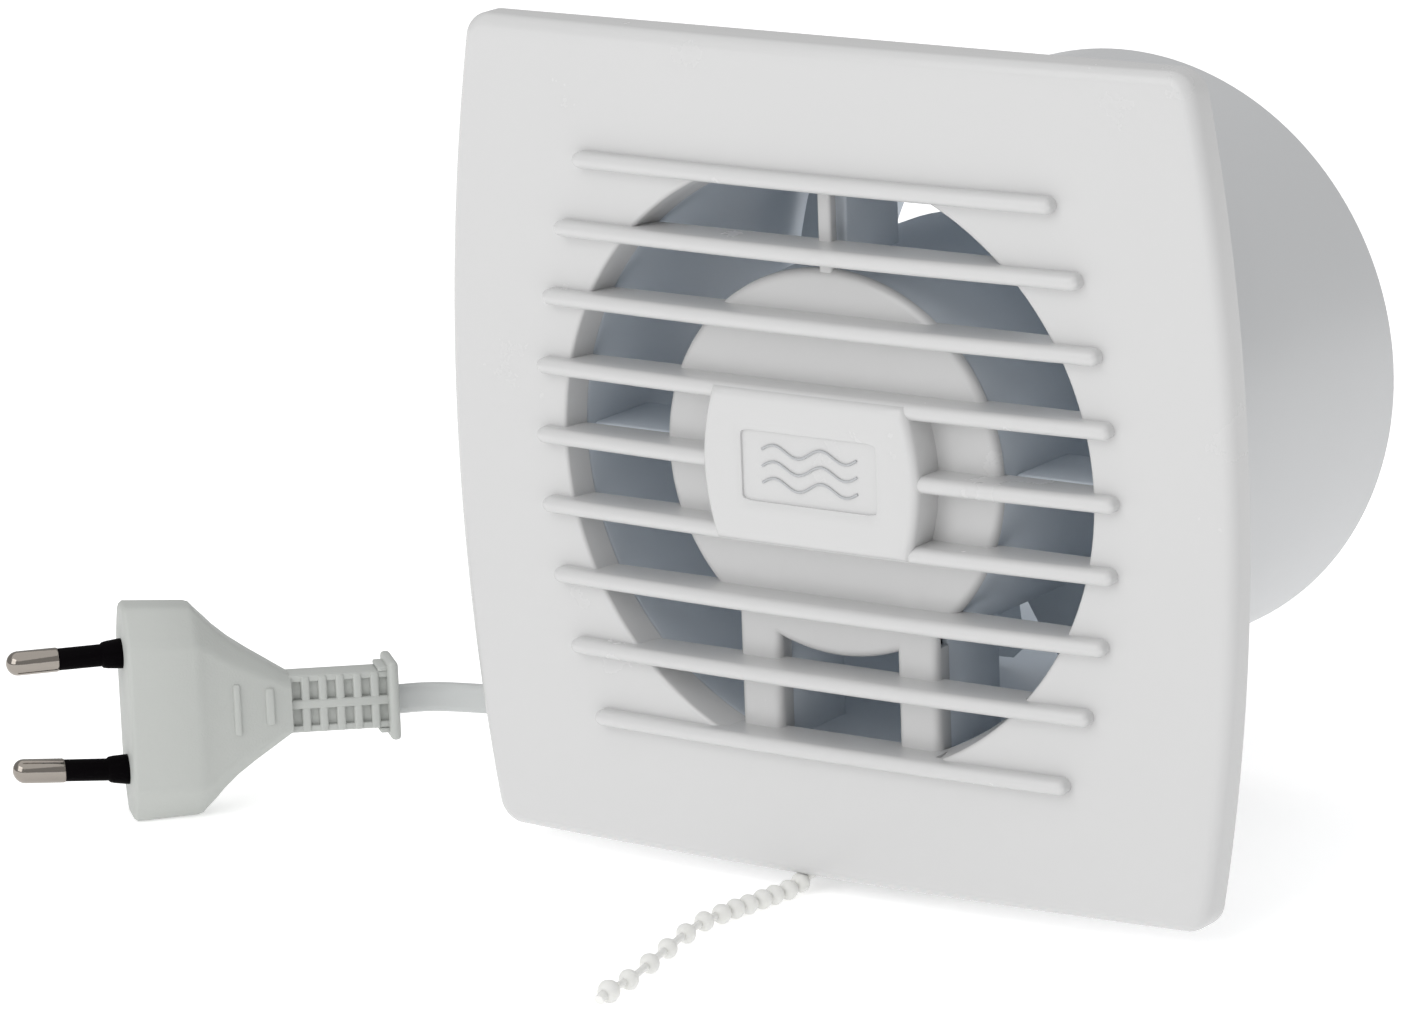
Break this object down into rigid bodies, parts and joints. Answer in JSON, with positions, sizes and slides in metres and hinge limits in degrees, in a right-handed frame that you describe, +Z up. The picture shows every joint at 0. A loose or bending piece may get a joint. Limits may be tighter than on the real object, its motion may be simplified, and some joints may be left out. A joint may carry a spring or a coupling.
{
  "type": "bathroom extractor fan",
  "caption": "Axial bathroom extractor fan with a bowed louvred wall panel, round duct spigot, shaded-pole motor, pull-cord switch and mains lead with flat plug.",
  "frame": {"origin": "on the duct axis, in the plane of the wall that the panel's back lies against", "axes": "+Y along the duct into the wall, +Z up, +X to the right of a person facing the panel"},
  "size_m": [0.2111, 0.1507, 0.1342],
  "materials": {
    "cover_plastic": "semi-gloss injection moulded",
    "housing_plastic": "semi-gloss",
    "impeller_plastic": "semi-gloss",
    "electrical_plastic": "satin",
    "bobbin_plastic": "matte",
    "cam_plastic": "satin",
    "steel_laminations": "stacked sheet, oiled",
    "steel": "zinc plated",
    "copper_winding": "enamelled copper wire",
    "brass": "plain",
    "cord_sheath": "soft PVC",
    "wire_brown": "PVC",
    "wire_blue": "PVC",
    "wire_white": "PVC",
    "plug_plastic": "satin",
    "pin_insulation": "satin",
    "nickel": "nickel plated",
    "chain_plastic": "satin"
  },
  "bodies": {
    "fan_body": {"front_cover": "cover_plastic", "housing": "housing_plastic", "motor_cup": "housing_plastic", "cup_strut_left": "housing_plastic", "cup_strut_right": "housing_plastic", "cup_strut_top": "housing_plastic", "cup_strut_side_left": "housing_plastic", "cup_strut_side_right": "housing_plastic", "stator_core": "steel_laminations", "coil_bobbin": "bobbin_plastic", "coil_winding": "copper_winding", "front_bracket": "steel", "rear_bracket": "steel", "front_bearing": "brass", "rear_bearing": "brass", "motor_screw_left": "steel", "motor_screw_right": "steel", "terminal_block": "electrical_plastic", "terminal_insert_left": "brass", "terminal_insert_right": "brass", "terminal_screw_left_lower": "steel", "terminal_screw_left_upper": "steel", "terminal_screw_right_lower": "steel", "terminal_screw_right_upper": "steel", "switch_case": "electrical_plastic", "switch_lid": "electrical_plastic", "return_spring": "steel", "moving_contact": "brass", "fixed_contact": "brass", "switch_screw_lower": "steel", "switch_screw_upper": "steel", "chain_guide": "electrical_plastic", "mains_core": "wire_brown", "switch_wire": "wire_blue", "motor_lead_left": "wire_white", "motor_lead_right": "wire_white", "cord_grommet": "plug_plastic", "cord_clamp": "electrical_plastic", "clamp_screw_inner": "steel", "clamp_screw_outer": "steel", "mains_lead_fan": "cord_sheath", "cord_coil": "cord_sheath", "mains_lead_plug": "cord_sheath", "plug_body": "plug_plastic", "pin_sleeve_lower": "pin_insulation", "pin_sleeve_upper": "pin_insulation", "plug_pin_lower": "nickel", "plug_pin_upper": "nickel"},
    "rotor_assembly": {"rotor": "steel_laminations", "motor_shaft": "steel", "impeller": "impeller_plastic", "impeller_clip": "steel"},
    "pull_cord": {"switch_plunger": "electrical_plastic", "pull_chain": "chain_plastic", "chain_end_bead": "chain_plastic"},
    "cam": {"switch_cam": "cam_plastic"}
  },
  "joints": [
    {"name": "impeller_spin", "type": "hinge", "parent": "fan_body", "child": "rotor_assembly", "pos_m": [0, 0.014, 0], "axis": [0, 1, 0], "continuous": true},
    {"name": "cord_pull", "type": "slide", "parent": "fan_body", "child": "pull_cord", "axis": [0, 0, -1], "range_m": [0, 0.004], "stiffness_N_per_m": 300, "deforming": ["return_spring"]},
    {"name": "cam_turn", "type": "hinge", "parent": "fan_body", "child": "cam", "pos_m": [-0.0014, -0.0034, -0.0565], "axis": [0, 1, 0], "range_deg": [0, 45]}
  ],
  "couplings": [
    {"joint": "cam_turn", "follows": "cord_pull", "rad_per_m": 196}
  ]
}
